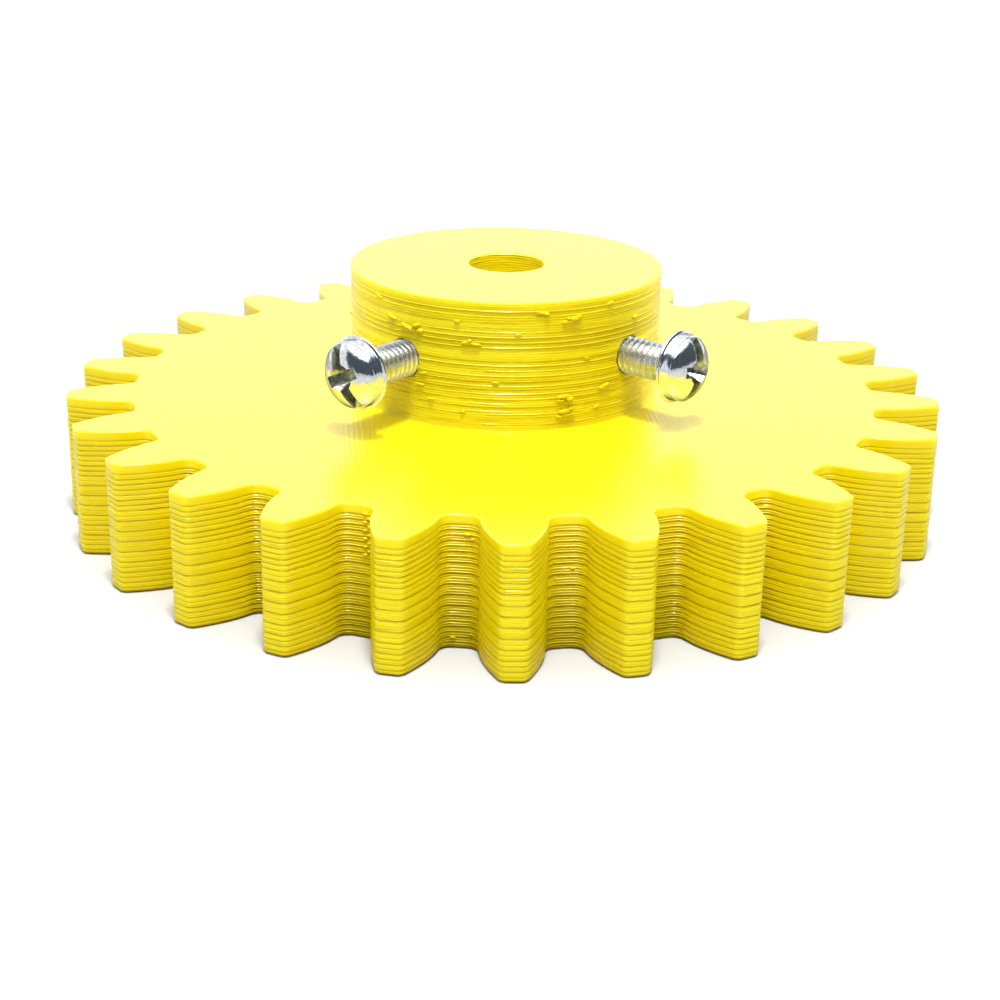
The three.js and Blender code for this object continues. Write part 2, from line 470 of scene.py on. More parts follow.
# drops and torn ends where the nozzle paused on the hub wall:
# azimuth, height above the plate, half-length, half-height, stand-out, lean (degrees)
HUB_DROPS = [
    (12.6, 9.26, .58, .10, .17, -12), (14.4, 9.16, .22, .16, .24, 0),
    (24.8, 8.64, .50, .19, .26, 4), (22.4, 8.46, .62, .11, .18, 3),
    (26.2, 8.80, .22, .16, .30, 10), (22.6, 8.70, .20, .12, .22, 0),
    (21.4, 2.60, .62, .15, .22, 2), (23.6, 2.40, .30, .22, .30, 0),
    (20.2, 2.30, .34, .12, .20, -6), (21.8, 1.42, .52, .19, .25, 5),
    (23.4, 1.16, .60, .12, .20, 2), (20.2, 1.04, .36, .11, .18, 0),
    (24.0, 1.62, .20, .14, .26, 0), (-13.4, 6.86, .42, .12, .20, 12),
    (-10.2, 6.78, .50, .10, .17, -6), (-12.2, 7.02, .18, .12, .22, 0),
    (38.6, 3.02, .40, .12, .20, 14), (36.8, 2.84, .34, .10, .17, 0),
    (34.8, 1.46, .30, .11, .20, 18), (52.8, 7.86, .28, .14, .24, 20),
    (39.4, 9.44, .30, .12, .17, 24), (-36.6, 7.42, .62, .12, .24, -16),
    (-32.6, 7.66, .42, .13, .30, 20), (-31.0, 7.30, .26, .16, .24, 0),
    (-43.6, 7.90, .50, .10, .22, -16), (-34.6, 7.24, .44, .08, .20, 6),
    (-29.6, 4.02, .36, .10, .17, 10), (-31.0, 3.10, .44, .09, .15, 0),
    (-50.8, 9.20, .40, .09, .17, -20), (-16.8, 8.44, .26, .10, .15, 0),
    (-14.4, 1.40, .24, .09, .13, 0), (-26.4, 2.10, .30, .09, .14, 8),
    (30.2, 5.42, .26, .09, .14, -8), (4.6, 7.60, .30, .08, .13, 4),
    (-3.0, 3.86, .34, .08, .12, -4), (150, 4.2, .42, .14, .22, 8),
    (151, 6.8, .42, .14, .20, -6), (-118, 5.4, .40, .14, .20, 12),
    (205, 2.2, .46, .15, .22, 0), (112, 8.1, .40, .13, .20, 10),
    (80, 4.6, .36, .12, .18, 0), (-84, 6.0, .36, .12, .18, 6)]
# a run of small bumps down one root of the teeth, and single ones in others:
# outline point, height, half-length, half-height, stand-out
TOOTH_DROPS = [(600 + i % 2, 9.35 - 0.30 * i, .17, .11, .12) for i in range(11)] + [
    (0, 8.55, .26, .09, .12), (1, 8.25, .16, .08, .10), (623, 0.85, .24, .09, .12),
    (1, 1.15, .18, .08, .10), (24, 6.1, .20, .08, .10), (170, 4.4, .18, .10, .12),
    (171, 5.2, .18, .10, .12), (310, 3.0, .20, .10, .12), (311, 6.4, .18, .10, .12),
    (455, 7.3, .20, .10, .12)]


def drop(seed, out, foot, along, high, proud, lean=0.0):
    """A flattened, slightly uneven ball on a wall that faces out, centred at foot."""
    bm = bmesh.new()
    bmesh.ops.create_icosphere(bm, subdivisions=2, radius=1.0)
    rng = np.random.RandomState(int(abs(seed)) % 99991)
    for v in bm.verts:
        uneven = 1 + 0.10 * (rng.rand() - 0.5)
        v.co = Vector([math.copysign(abs(c) ** DROP_BLUNT, c) * uneven for c in v.co])
    ob = object_from_bmesh("drop", bm)
    size = Matrix.Diagonal((along * MM, high * MM, (proud + DROP_SUNK) * MM, 1))
    ob.data.transform(wall_frame(out, foot) @ z_rotation(lean) @ size)
    return ob


def hub_drop(azimuth, height, along, high, proud, lean):
    out = outward(azimuth)
    foot = out * (HUB_R - DROP_SUNK) + Vector((0, 0, PLATE_H + height))
    return drop(azimuth * 97 + height * 131, out, foot, along, high, proud, lean)


def tooth_drop(point, height, along, high, proud):
    out = Vector((*OUTLINE_NORMALS[point], 0)).normalized()
    foot = Vector((*OUTLINE[point], 0)) - out * DROP_SUNK + Vector((0, 0, height))
    return drop(point * 97 + height * 131, out, foot, along, high, proud)


drops = [hub_drop(*row) for row in HUB_DROPS]
drops += [tooth_drop(*row) for row in TOOTH_DROPS]
for other in drops[1:]:
    boolean(drops[0], other, "UNION")
boolean(gear, drops[0], "UNION")


# ------------------------------------------------------------------ screw holes and pockets
def cut_screw_seat(azimuth):
    """A round hole along the screw and a hexagonal pocket for its nut."""
    angles = np.arange(64) * 2 * np.pi / 64
    round_outline = [(HOLE_R * math.cos(a), HOLE_R * math.sin(a)) for a in angles]
    pocket_outline = hexagon((NUT_FLATS / 2 + POCKET_GAP) / math.cos(math.pi / 6))
    for name, outline, start, end in (("hole", round_outline, 0.6, HUB_R + 2),
                                      ("pocket", pocket_outline, POCKET_FROM, POCKET_TO)):
        cutter = prism(name, outline, start, end)
        cutter.data.transform(screw_frame(azimuth))
        boolean(gear, cutter, "DIFFERENCE")


for azimuth, _, _ in SCREWS.values():
    cut_screw_seat(azimuth)


def is_layer_valley(edge):
    """Whether an edge lies level between two layers of a printed wall."""
    first = edge.verts[0].co
    z0, z1 = first.z / MM, edge.verts[1].co.z / MM
    level = z0 / LAYER
    if abs(z0 - z1) >= 1e-4 or abs(level - round(level)) >= 2e-3:
        return False
    if not 0.1 < z0 < TOP - 0.1 or abs(z0 - PLATE_H) <= 0.01:
        return False
    r = math.hypot(first.x, first.y) / MM
    on_plate = z0 < PLATE_H - 0.35 and r > 20
    on_hub = z0 > PLATE_H and abs(r - HUB_R) < 0.8
    in_bore = r < BORE_R + 0.3
    return on_plate or on_hub or in_bore


def sharpen(ob, angle, layers=False):
    """Marks sharp edges by angle; with layers, every valley between layers too."""
    me = ob.data
    me.shade_smooth()
    bm = bmesh.new()
    bm.from_mesh(me)
    for edge in bm.edges:
        if len(edge.link_faces) != 2:
            edge.smooth = False
            continue
        fold = edge.calc_face_angle(0.0)
        if fold > math.radians(angle) or (layers and fold > 0.02 and is_layer_valley(edge)):
            edge.smooth = False
    bm.to_mesh(me)
    bm.free()


sharpen(gear, 50, layers=True)
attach(gear, "gear")
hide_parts("gear_and_hub")


# ------------------------------------------------------------------ threads
THREAD_PITCH = 0.5


def thread_solid(name, major, minor, z0, z1):
    """A helical thread as one closed solid along Z, longer than needed at both ends."""
    segments, pitch = 48, THREAD_PITCH
    flat, root = pitch / 8, pitch / 5
    slope = (pitch - flat - root) / 2
    middle = (major + minor) / 2
    # one pitch of the thread: height, radius
    profile = [(0.0, minor), (root, minor), (root + slope * 0.5, middle), (root + slope, major),
               (root + slope + flat, major), (root + 1.5 * slope + flat, middle)]
    n = len(profile)
    turns = int(math.ceil((z1 - z0) / pitch))
    rows = turns * n + 1
    last = segments - 1
    verts = []
    for i in range(segments):
        a = 2 * math.pi * i / segments
        for k in range(rows):
            rise, r = profile[k % n]
            z = z0 + pitch * (k // n) + rise + pitch * i / segments
            verts.append((r * math.cos(a), r * math.sin(a), z))

    def index(i, k):
        return i * rows + k

    faces = []
    for i in range(last):
        for k in range(rows - 1):
            faces.append((index(i, k), index(i + 1, k), index(i + 1, k + 1), index(i, k + 1)))
    # the seam, where the last column meets the first one pitch up
    for k in range(rows - 1 - n):
        faces.append((index(last, k), index(0, k + n), index(0, k + n + 1), index(last, k + 1)))
    # fans that close the two ends
    low_centre, high_centre = len(verts), len(verts) + 1
    verts.append((0, 0, z0))
    verts.append((0, 0, z0 + pitch * (turns + 1)))
    low = [index(i, 0) for i in range(segments)] + [index(0, k) for k in range(n, 0, -1)]
    for a, b in zip(low, low[1:] + low[:1]):
        faces.append((a, low_centre, b))
    high = [index(i, rows - 1) for i in range(segments)]
    high += [index(last, k) for k in range(rows - 2, rows - 2 - n, -1)]
    for a, b in zip(high, high[1:] + high[:1]):
        faces.append((b, high_centre, a))
    return new_mesh(name, verts, faces)


# ------------------------------------------------------------------ screws
HEAD_H = 2.15                              # seat to top of the head
HEAD_WIDTH = 0.957                         # scale of the head's radii
# the crown is part of an ellipse: half-width, start angle, height of its centre
CROWN_R, CROWN_START, CROWN_Z = 2.80 * HEAD_WIDTH, math.radians(23.6), 0.42
# plug under the head, seat, thin lip, upright band and creased shoulder: radius, height
HEAD_PROFILE = [
    (0.0, -0.4), (1.35, -0.4), (1.38, 0.0), (2.80, 0.0), (2.88, 0.02), (2.92, 0.06),
    (2.925, 0.11), (2.90, 0.16), (2.84, 0.19), (2.76, 0.205), (2.715, 0.235), (2.70, 0.30),
    (2.692, 0.45), (2.682, 0.70), (2.672, 0.96), (2.662, 1.00), (2.640, 1.025),
    (2.600, 1.040), (2.575, 1.055)]


def head_profile():
    """Pan head, steep at the shoulder and nearly flat on top."""
    rows = [(r * HEAD_WIDTH if r > 1.5 else r, z) for r, z in HEAD_PROFILE]
    for t in np.linspace(0, 1, 18)[:-1]:
        a = CROWN_START + (math.pi / 2 - CROWN_START) * t
        rows.append((CROWN_R * math.cos(a), CROWN_Z + (HEAD_H - CROWN_Z) * math.sin(a)))
    rows.append((0.0, HEAD_H))
    return rows


def recess_cutter(turn):
    """A full-width slot and a tapering cross, joined into one tool."""
    tool = prism("recess", rectangle(0.47, 3.4), HEAD_H - 1.02, HEAD_H + 1)
    for degrees in (0, 90):
        arm = prism("arm", rectangle(0.90, 0.34), HEAD_H - 1.62, HEAD_H + 0.6,
                    top_points=rectangle(1.78, 0.48))
        arm.data.transform(z_rotation(degrees))
        boolean(tool, arm, "UNION")
    # the cone where the four arms meet
    profile = [(0, HEAD_H - 1.72), (0.50, HEAD_H - 1.62), (1.22, HEAD_H + 0.5), (0, HEAD_H + 0.5)]
    boolean(tool, turned("cone", profile, 32), "UNION")
    tool.data.transform(z_rotation(-turn))
    return tool


def screw_surface(centre, normal):
    """0 on the polished head, 0.5 in its recess, 1 on the thread."""
    if centre.z < 0.005:
        return 1.0
    r = math.hypot(centre.x, centre.y)
    if r < 2.54 * HEAD_WIDTH:
        crown_z = CROWN_Z + (HEAD_H - CROWN_Z) * math.sqrt(1 - (r / CROWN_R) ** 2)
        in_recess = 0.3 < centre.z < crown_z - 0.05
    else:
        # the ends of the slot: upright faces that look across the radius
        across = abs(normal.x * centre.x + normal.y * centre.y) < 0.6 * r
        in_recess = r >= 2.6 * HEAD_WIDTH and abs(normal.z) < 0.2 and across
    return 0.5 if in_recess else 0.0


def build_screw(side, turn, twist):
    body = turned(f"clamp_screw_{side}_visual", head_profile(), 96)
    boolean(body, recess_cutter(turn), "DIFFERENCE")
    # soften the recess edges a little
    bevel = body.modifiers.new("edge", "BEVEL")
    bevel.width = 0.035 * MM
    bevel.segments = 2
    bevel.limit_method = "ANGLE"
    bevel.angle_limit = math.radians(38)
    bevel.use_clamp_overlap = True
    make_real(body)
    thread = thread_solid("thread", major=1.46, minor=1.17, z0=-13.2, z1=0.4)
    thread.data.transform(z_rotation(twist))
    # trims the thread to length and gives it a chamfered end
    keep_profile = [(0, -12.0), (1.12, -12.0), (1.5, -11.6), (1.6, -11.5), (1.6, 0.10), (0, 0.10)]
    boolean(thread, turned("keep", keep_profile, 64), "INTERSECT")
    boolean(body, thread, "UNION")
    surface = body.data.attributes.new("surface", "FLOAT", "FACE")
    for face in body.data.polygons:
        surface.data[face.index].value = screw_surface(face.center / MM, face.normal)
    return body


metal_parts = []
for side, (azimuth, turn, twist) in SCREWS.items():
    cad_name = f"clamp_screw_{side}"
    out = outward(azimuth)
    # head end of the CAD screw along its own axis
    head_end = max(v.co.dot(out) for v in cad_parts[cad_name].data.vertices) / MM
    screw = build_screw(side, turn, twist)
    screw.data.transform(screw_frame(azimuth, head_end - HEAD_H))
    sharpen(screw, 34)
    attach(screw, f"screw_{side}")
    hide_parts(cad_name)
    metal_parts.append(screw)


# ------------------------------------------------------------------ captive nuts
def build_nut(side, azimuth):
    h = NUT_HALF_H
    corner_r = NUT_FLATS / 2 / math.cos(math.pi / 6)
    chamfer = (corner_r - NUT_FLATS / 2) * 1.2
    chamfer_h = chamfer * math.tan(math.pi / 6)
    face_r, rim_r = corner_r - chamfer, corner_r + 0.03
    body = prism(f"captive_nut_{side}_visual", hexagon(corner_r), -h, h)
    profile = [(0, -h), (face_r, -h), (rim_r, -h + chamfer_h), (rim_r, h - chamfer_h),
               (face_r, h), (0, h)]
    boolean(body, turned("cone", profile, 96), "INTERSECT")
    boolean(body, thread_solid("tap", major=1.80, minor=1.56, z0=-2.6, z1=2.2), "DIFFERENCE")
    # countersinks at both ends of the thread
    profile = [(0, -h - 0.2), (2.05, -h - 0.2), (1.5, -h + 0.35), (1.5, h - 0.35),
               (2.05, h + 0.2), (0, h + 0.2)]
    boolean(body, turned("sink", profile, 64), "DIFFERENCE")
    body.data.transform(screw_frame(azimuth, NUT_OUT + h))
    sharpen(body, 30)
    return body


for side, (azimuth, _, _) in SCREWS.items():
    nut = build_nut(side, azimuth)
    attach(nut, "gear")
    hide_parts(f"captive_nut_{side}")
    metal_parts.append(nut)


# ------------------------------------------------------------------ shader helpers
class Graph:
    """Adds shader nodes to a tree; values may be numbers, colours or output sockets."""

    def __init__(self, tree):
        self.tree = tree

    def fill(self, node, inputs):
        for key, value in inputs.items():
            if isinstance(value, bpy.types.NodeSocket):
                self.tree.links.new(value, node.inputs[key])
            else:
                node.inputs[key].default_value = value

    def node(self, kind, inputs=None, **settings):
        node = self.tree.nodes.new("ShaderNode" + kind)
        for key, value in settings.items():
            setattr(node, key, value)
        self.fill(node, inputs or {})
        return node

    def math(self, operation, *values, clamp=False):
        inputs = dict(enumerate(values))
        return self.node("Math", inputs, operation=operation, use_clamp=clamp).outputs[0]

    def plus(self, a, b):
        return self.math("ADD", a, b)

    def minus(self, a, b):
        return self.math("SUBTRACT", a, b)

    def times(self, a, b):
        return self.math("MULTIPLY", a, b)

    def times_plus(self, value, factor, plus):
        return self.math("MULTIPLY_ADD", value, factor, plus)

    def above(self, value, limit):
        return self.math("GREATER_THAN", value, limit)

    def below(self, value, limit):
        return self.math("LESS_THAN", value, limit)

    def invert(self, value):
        return self.math("SUBTRACT", 1.0, value)

    def split(self, vector):
        return self.node("SeparateXYZ", {"Vector": vector}).outputs

    def remap(self, value, start, end, to_start=0.0, to_end=1.0, kind="LINEAR"):
        return self.node("MapRange", {
            "Value": value, "From Min": start, "From Max": end,
            "To Min": to_start, "To Max": to_end}, interpolation_type=kind).outputs["Result"]

    def ramp_up(self, value, start, end):
        return self.remap(value, start, end, kind="SMOOTHSTEP")

    def noise(self, vector, scale, detail=2.0):
        inputs = {"Vector": vector, "Scale": scale, "Detail": detail}
        return self.node("TexNoise", inputs).outputs["Fac"]

    def mix(self, factor, first, second, blend="MIX"):
        return self.node("Mix", data_type="RGBA", blend_type=blend,
                         inputs={0: factor, 6: first, 7: second}).outputs[2]

    def ramp(self, factor, stops):
        """Colour ramp through (position, colour) stops in rising order."""
        node = self.node("ValToRGB", {"Fac": factor})
        elements = node.color_ramp.elements
        for element, (position, colour) in ((elements[0], stops[0]), (elements[1], stops[-1])):
            element.position = position
            element.color = colour
        for position, colour in stops[1:-1]:
            elements.new(position).color = colour
        return node.outputs["Color"]

    def bump(self, height, strength, distance):
        inputs = {"Height": height, "Strength": strength, "Distance": distance}
        return self.node("Bump", inputs).outputs["Normal"]


def new_material(name):
    material = bpy.data.materials.new(name)
    material.use_nodes = True
    tree = material.node_tree
    return material, Graph(tree), tree.nodes["Principled BSDF"]


# ------------------------------------------------------------------ printed plastic
def plastic_zones(g, place):
    """Coordinates in metres, and masks from 0 to 1 for the parts of the gear."""
    x, y, z = g.split(place)
    nx, ny, nz = g.split(g.node("NewGeometry").outputs["Normal"])
    flat = g.above(g.math("ABSOLUTE", nz), 0.97)
    wall = g.invert(flat)
    # undersides of the layers
    under = g.times(g.remap(nz, start=-0.04, end=-0.40), g.invert(flat))
    radius = g.math("SQRT", g.plus(g.times(x, x), g.times(y, y)))
    azimuth = g.math("ARCTAN2", x, g.times(y, -1.0))

    # wall of the hub
    hub_radii = g.times(g.below(radius, 13.5 * MM), g.above(radius, 3.6 * MM))
    hub = g.times(hub_radii, g.times(g.above(z, (PLATE_H + 0.03) * MM), wall))
    # its front, centred a little towards +X, where painted shade goes
    from_middle = g.math("ABSOLUTE", g.minus(azimuth, math.radians(4)))
    fade = g.ramp_up(from_middle, start=math.radians(34), end=math.radians(66))
    front = g.times(hub, g.invert(fade))
    # the part of the front past a sharp change on the +X side of the middle, a step of painted
    # shade that stands in for the edge of a reflection
    begins = g.ramp_up(azimuth, start=math.radians(13.2), end=math.radians(14.6))
    ends = g.ramp_up(azimuth, start=math.radians(40), end=math.radians(60))
    past = g.times(hub, g.times(begins, g.invert(ends)))

    # roots of the teeth, and how near a point is to the bed
    root = g.times(g.invert(g.ramp_up(radius, start=ROOT_R * MM, end=31.2 * MM)),
                   g.times(g.above(radius, 20.0 * MM), wall))
    low = g.invert(g.ramp_up(z, start=0.0, end=PLATE_H * MM))
    # flanks of the teeth, which look across the radius
    facing = g.math("DIVIDE", g.plus(g.times(x, nx), g.times(y, ny)), radius)
    flank = g.times(g.invert(g.ramp_up(facing, start=0.45, end=0.86)),
                    g.times(g.ramp_up(radius, start=29.6 * MM, end=30.6 * MM), wall))
    return SimpleNamespace(x=x, y=y, z=z, nz=nz, flat=flat, wall=wall, under=under, radius=radius,
                           hub=hub, front=front, past=past, root=root, low=low, flank=flank)


def plastic_colour(g, place, zones):
    # each layer a shade of its own, only faintly; the scale is tight in height
    stretch = g.node("Mapping", {"Scale": (22, 22, 2400), "Vector": place}).outputs["Vector"]
    layers = g.ramp(g.noise(stretch, scale=1.0, detail=1.0), [
        (0.30, (0.80, 0.655, 0.0045, 1)), (0.72, (0.87, 0.735, 0.0070, 1))])
    # painted shade: the undersides of the layers, which face down, are darker and deeper gold
    under_shade_colour, under_shade_share = (0.66, 0.475, 0.0020, 1), 0.75
    layers = g.mix(g.times(zones.under, under_shade_share), layers, under_shade_colour)

    # painted shade: the front of the hub is darker, and the roots are darker towards the bed;
    # painted light makes the whole hub wall and the tops of the roots a little lighter
    front_painted_shade, hub_painted_light = 0.262, 0.09
    root_painted_shade_at_bed, root_painted_light = 0.34, -0.03
    hub_painted_light_and_shade = g.times_plus(zones.hub, hub_painted_light, g.invert(g.times(zones.front, front_painted_shade)))
    root_painted_shade = g.times(zones.root, g.times_plus(zones.low, root_painted_shade_at_bed, root_painted_light))
    painted_light_and_shade_factor = g.times(hub_painted_light_and_shade, g.invert(root_painted_shade))

    # what the zones add to the factors on red, green and blue, all painted light and shade: the
    # flanks are darker and more golden, the shaded hub front keeps a little more green, and past
    # the sharp step, which stands in for the edge of a reflection, the hub is more golden
    flank_shade_red, flank_shade_green, flank_shade_blue = -0.075, -0.115, -0.45
    past_painted_green, past_painted_blue, front_shade_green = -0.055, -0.30, 0.035
    green = g.times_plus(zones.past, past_painted_green, g.times_plus(zones.front, front_shade_green, 1.0))
    blue = g.times_plus(zones.past, past_painted_blue, 1.0)
    shade = g.node("CombineColor", {
        "Red": g.times(painted_light_and_shade_factor, g.times_plus(zones.flank, flank_shade_red, 1.0)),
        "Green": g.times(painted_light_and_shade_factor, g.times_plus(zones.flank, flank_shade_green, green)),
        "Blue": g.times(painted_light_and_shade_factor, g.times_plus(zones.flank, flank_shade_blue, blue))}).outputs["Color"]
    return g.mix(1.0, layers, shade, blend="MULTIPLY")


def plastic_specular(g, zones):
    """Specular level: more on upward slopes, less on undersides, past and low in the roots."""
    base, over_gain, under_gain, hub_gain = 0.5, 0.5, -0.42, -1.3
    past_loss, root_loss = 0.35, 0.75
    over = g.times(g.remap(zones.nz, start=0.30, end=0.62), g.invert(zones.flat))
    over = g.times(over, g.times_plus(zones.hub, hub_gain, 1.0))
    level = g.times_plus(over, over_gain, g.times_plus(zones.under, under_gain, base))
    root = g.times(zones.root, g.times(zones.low, root_loss))
    return g.times(level, g.invert(g.times_plus(zones.past, past_loss, root)))


def plastic_normal(g, place, zones, fine):
    """On flat faces the bead lines of the last layer, near to the Y direction."""
    bead_width, wander = 0.4 * MM, 0.05 * MM
    tilt = math.radians(6)
    round_top = 0.6                        # exponent on the bead's section
    unevenness, grain = 0.8, 0.03          # height from bead to bead, and of the fine noise
    across = g.plus(g.times(zones.x, math.cos(tilt)), g.times(zones.y, math.sin(tilt)))
    lane = g.times_plus(g.noise(place, scale=60), wander, across)
    bead = g.math("ABSOLUTE", g.math("SINE", g.times(lane, math.pi / bead_width)))
    bead = g.math("POWER", bead, round_top)
    lane_number = g.math("FLOOR", g.times(lane, 1 / bead_width))
    random = g.node("TexWhiteNoise", {"W": lane_number}, noise_dimensions="1D").outputs["Value"]
    bead = g.times(g.times_plus(random, unevenness, bead), zones.flat)
    return g.bump(g.times_plus(fine, grain, bead), strength=0.45, distance=0.024 * MM)


def plastic_painted_light(g, zones):
    """Painted light and painted reflection: emission colour and strength."""
    bore_painted_light, edge_painted_light, mirror_painted_reflection = 0.05, 0.26, 0.16
    fade_depth = 0.42 * MM
    # painted light: inside the bore the wall glows a little, standing in for light let through
    # the thin wall
    bore = g.times(g.below(zones.radius, 3.3 * MM), g.invert(zones.flat))

    # painted light: a glow just below the edges of the flat faces, standing in for light that
    # enters the flat faces and comes out again there
    def just_below(top):
        depth = g.times(g.minus(top * MM, zones.z), 1 / fade_depth)
        return g.times(g.math("EXPONENT", g.times(depth, -1.0)), g.above(depth, -0.05))

    edge = g.math("MAXIMUM", just_below(TOP), just_below(PLATE_H))
    edge = g.times(edge, g.invert(zones.flat))
    edge = g.times(edge, g.above(zones.radius, 3.6 * MM))
    # painted reflection: flat faces are paler where other surfaces reflect them
    reflected = g.node("LightPath").outputs["Is Glossy Ray"]
    pale = g.times(g.times(reflected, zones.flat), mirror_painted_reflection)
    colour = g.mix(g.above(pale, 0.001), (0.95, 0.68, 0.004, 1), (1.0, 1.0, 1.0, 1))
    return colour, g.plus(pale, g.times_plus(edge, edge_painted_light, g.times(bore, bore_painted_light)))


def plastic_material():
    material, g, shader = new_material("printed_yellow")
    place = g.node("TexCoord").outputs["Object"]
    zones = plastic_zones(g, place)
    fine = g.noise(place, scale=900, detail=4)
    painted_light_colour, painted_light_strength = plastic_painted_light(g, zones)
    g.fill(shader, {
        "Base Color": plastic_colour(g, place, zones),
        "Roughness": g.remap(fine, start=0.0, end=1.0, to_start=0.17, to_end=0.33),
        "IOR": 1.50,
        "Specular IOR Level": plastic_specular(g, zones),
        "Specular Tint": g.mix(zones.wall, (1.0, 1.0, 1.0, 1), (1.0, 0.94, 0.60, 1)),
        "Normal": plastic_normal(g, place, zones, fine),
        "Emission Color": painted_light_colour,
        "Emission Strength": painted_light_strength})
    return material


# ------------------------------------------------------------------ zinc
def zinc_material():
    """Bright zinc; the surface attribute tells head, recess and thread apart."""
    material, g, shader = new_material("bright_zinc")
    place = g.node("TexCoord").outputs["Object"]
    kind = g.node("Attribute", attribute_name="surface").outputs["Fac"]

    def by_kind(head, recess, thread):
        stops = ((0.0, head), (0.5, recess), (1.0, thread))
        return g.ramp(kind, [(position, (v, v, v, 1)) for position, v in stops])

    # head bright, thread a little greyer; the recess is a darker olive grey, painted shade with a
    # painted reflection of the yellow gear
    tone = g.ramp(kind, [(0.0, (0.74, 0.77, 0.80, 1)), (0.5, (0.46, 0.48, 0.42, 1)),
                         (1.0, (0.70, 0.72, 0.73, 1))])
    # specks scale the tone round a mean brightness
    mean_brightness, rough_speck = 0.97, 0.05
    specks = g.noise(place, scale=3800, detail=5)
    centred = g.remap(specks, start=0.25, end=0.75, to_start=-0.80, to_end=0.55)
    swing = g.times(by_kind(head=0.26, recess=1.0, thread=0.26), centred)
    brightness = g.plus(swing, mean_brightness)
    colour = g.node("VectorMath", {0: tone, "Scale": brightness}, operation="SCALE")
    roughness = by_kind(head=0.075, recess=0.26, thread=0.24)
    g.fill(shader, {
        "Base Color": colour.outputs["Vector"],
        "Metallic": 0.98,
        # edges seen at a glancing angle go dark
        "Specular Tint": (0.30, 0.33, 0.30, 1),
        "Roughness": g.times_plus(specks, rough_speck, roughness),
        "Normal": g.bump(g.noise(place, scale=5200, detail=3),
                         strength=by_kind(head=0.34, recess=1.0, thread=0.36),
                         distance=0.02 * MM)})
    return material


def wear(ob, material):
    """Makes the material the object's only one."""
    ob.data.materials.clear()
    ob.data.materials.append(material)
    for face in ob.data.polygons:
        face.material_index = 0


plastic = plastic_material()
zinc = zinc_material()
wear(gear, plastic)
for part in metal_parts:
    wear(part, zinc)


# ------------------------------------------------------------------ floor
def floor_material():
    """Paper white as seen, with painted shade round the gear, and a little greyer in the light it
    throws back.
    """
    material, g, shader = new_material("floor_white")
    place = g.node("TexCoord").outputs["Object"]
    distance = g.node("VectorMath", {0: place}, operation="LENGTH").outputs["Value"]
    seen = g.node("LightPath").outputs["Is Camera Ray"]
    # painted shade: both colours are darker under and close round the gear; the one seen shows as
    # shade on the floor, the other throws less light back into the gear's roots
    bounce = g.remap(distance, start=31 * MM, end=44 * MM, to_start=0.24, to_end=0.52)
    seen_colour_with_shade = g.mix(g.remap(distance, start=34 * MM, end=45 * MM),
                        (0.610, 0.625, 0.640, 1), (0.745, 0.75, 0.825, 1))
    # evenly white away from the gear, as seen
    lift = g.remap(distance, start=48 * MM, end=120 * MM, to_end=0.45)
    g.fill(shader, {
        "Base Color": g.mix(seen, bounce, seen_colour_with_shade),
        "Roughness": 0.7,
        "Specular IOR Level": 0.2,
        "Emission Color": (1, 1, 1, 1),
        "Emission Strength": g.times(lift, seen)})
    return material


def build_floor():
    bm = bmesh.new()
    bmesh.ops.create_grid(bm, x_segments=2, y_segments=2, size=3.0)
    floor = object_from_bmesh("floor", bm)
    floor.location.z = -0.02 * MM
    floor.data.materials.append(floor_material())
    return floor


build_floor()


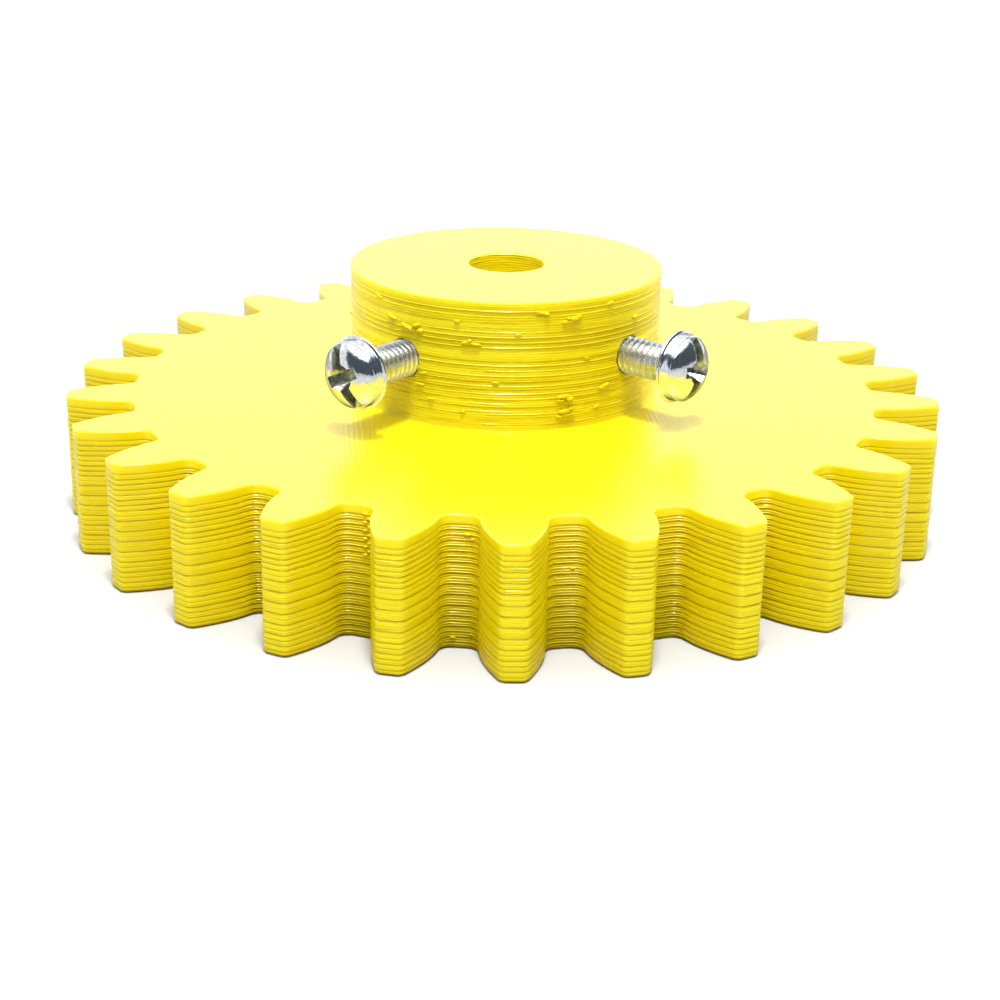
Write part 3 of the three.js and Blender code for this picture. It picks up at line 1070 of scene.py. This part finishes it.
# ------------------------------------------------------------------ world
def build_world():
    world = bpy.data.worlds.new("studio")
    scene.world = world
    world.use_nodes = True
    world.node_tree.nodes.clear()
    g = Graph(world.node_tree)

    def step(value, edge, soft):
        """0 below the edge, 1 above it; edge and softness in degrees."""
        scaled = g.times(g.minus(value, math.radians(edge)), 1.0 / math.radians(soft))
        return g.math("SUBTRACT", scaled, -0.5, clamp=True)

    def band(value, start, start_soft, end, end_soft):
        return g.times(step(value, start, start_soft), g.invert(step(value, end, end_soft)))

    # elevation above the horizon, and azimuth: 0 towards the camera, positive towards +X
    x, y, z = g.split(g.node("TexCoord").outputs["Generated"])
    elevation = g.math("ARCSINE", g.math("MINIMUM", g.math("MAXIMUM", z, -1.0), 1.0))
    azimuth = g.math("ARCTAN2", x, g.times(y, -1.0))

    # what the gloss sees: a white room, brighter high up and low behind the gear,
    # a tall soft light above the camera, and a dark stretch behind the camera
    high_gain, behind_gain, card_gain, dark_loss = 2.4, 0.62, 5.0, 0.92
    dark_slant = 0.8                       # how the dark stretch's -X end leans with height
    gloss = g.plus(1.0, g.times(step(elevation, edge=50, soft=6), high_gain))
    behind = g.times(step(g.math("ABSOLUTE", azimuth), edge=105, soft=30),
                     g.invert(step(elevation, edge=40, soft=10)))
    gloss = g.plus(gloss, g.times(behind, behind_gain))
    card = g.times(band(elevation, start=45, start_soft=4, end=80, end_soft=8),
                   band(azimuth, start=-31, start_soft=10, end=26, end_soft=3))
    gloss = g.plus(gloss, g.times(card, card_gain))
    slanted = g.plus(azimuth, g.times(elevation, dark_slant))
    dark = g.times(band(elevation, start=2, start_soft=2, end=44, end_soft=4),
                   g.times(step(slanted, edge=-50, soft=5),
                           g.invert(step(azimuth, edge=110, soft=5))))
    gloss = g.times(gloss, g.invert(g.times(dark, dark_loss)))

    # what lights the matt part of the surfaces: an even dome, weaker near the horizon
    dome_low, dome_rise = 0.39, 0.36
    dome = g.plus(dome_low, g.times(step(elevation, edge=32, soft=50), dome_rise))

    rays = g.node("LightPath").outputs
    diffuse = rays["Is Diffuse Ray"]
    level = g.plus(g.times(diffuse, dome), g.times(g.invert(diffuse), gloss))
    # the dark stretch is bluish
    tint = g.mix(g.times(dark, g.invert(diffuse)), (1.0, 1.0, 1.0, 1), (0.62, 0.84, 1.10, 1))
    room = g.node("Background", {"Color": tint, "Strength": level})
    seen = g.node("Background", {"Color": (1, 1, 1, 1), "Strength": 1.25})
    mixed = g.node("MixShader", {
        0: rays["Is Camera Ray"], 1: room.outputs[0], 2: seen.outputs[0]})
    g.node("OutputWorld", {0: mixed.outputs[0]})


build_world()


# ------------------------------------------------------------------ light
def build_overhead():
    """A small square light high above, a little to the front; metres and watts."""
    location, target = Vector((0.005, -0.105, 0.405)), Vector((0, 0, 0.012))
    light = bpy.data.lights.new("overhead", "AREA")
    light.shape = "RECTANGLE"
    light.size = light.size_y = 0.05
    light.energy = 1.36
    ob = new_object("overhead", light)
    ob.location = location
    ob.rotation_mode = "QUATERNION"
    ob.rotation_quaternion = (target - location).to_track_quat("-Z", "Y")


build_overhead()

# ------------------------------------------------------------------ camera
CAMERA_DISTANCE = 158.5527                 # from the middle of the plate's top, mm
CAMERA_ELEVATION = 0.3060                  # radians, as are the three below
CAMERA_PITCH = -0.060786665                # up from the line to the plate's top
CAMERA_YAW = -0.00089336174                # towards +X
CAMERA_ROLL = 0.0193
SENSOR_WIDTH, FOCAL_LENGTH = 36.0, 69.782688


def turn_pair(a, b, angle):
    """Turns two square unit vectors in their plane, a towards b."""
    return (math.cos(angle) * a + math.sin(angle) * b,
            math.cos(angle) * b - math.sin(angle) * a)


def build_camera():
    back = Vector((0, -math.cos(CAMERA_ELEVATION), math.sin(CAMERA_ELEVATION)))
    position = Vector((0, 0, PLATE_H)) + back * CAMERA_DISTANCE
    forward, right = -back, Vector((1, 0, 0))
    up = right.cross(forward)
    forward, up = turn_pair(forward, up, CAMERA_PITCH)
    forward, right = turn_pair(forward, right, CAMERA_YAW)
    right, up = turn_pair(right, up, CAMERA_ROLL)
    data = bpy.data.cameras.new("camera")
    camera = new_object("camera", data)
    rotation = Matrix((right, up, -forward)).transposed()
    camera.matrix_world = Matrix.Translation(position * MM) @ rotation.to_4x4()
    data.sensor_fit = "HORIZONTAL"
    data.sensor_width = SENSOR_WIDTH
    data.lens = FOCAL_LENGTH
    data.clip_start, data.clip_end = 0.005, 20.0
    scene.camera = camera


build_camera()

scene.view_settings.view_transform = "Standard"
scene.view_settings.look = "None"
scene.view_settings.exposure = 0.0
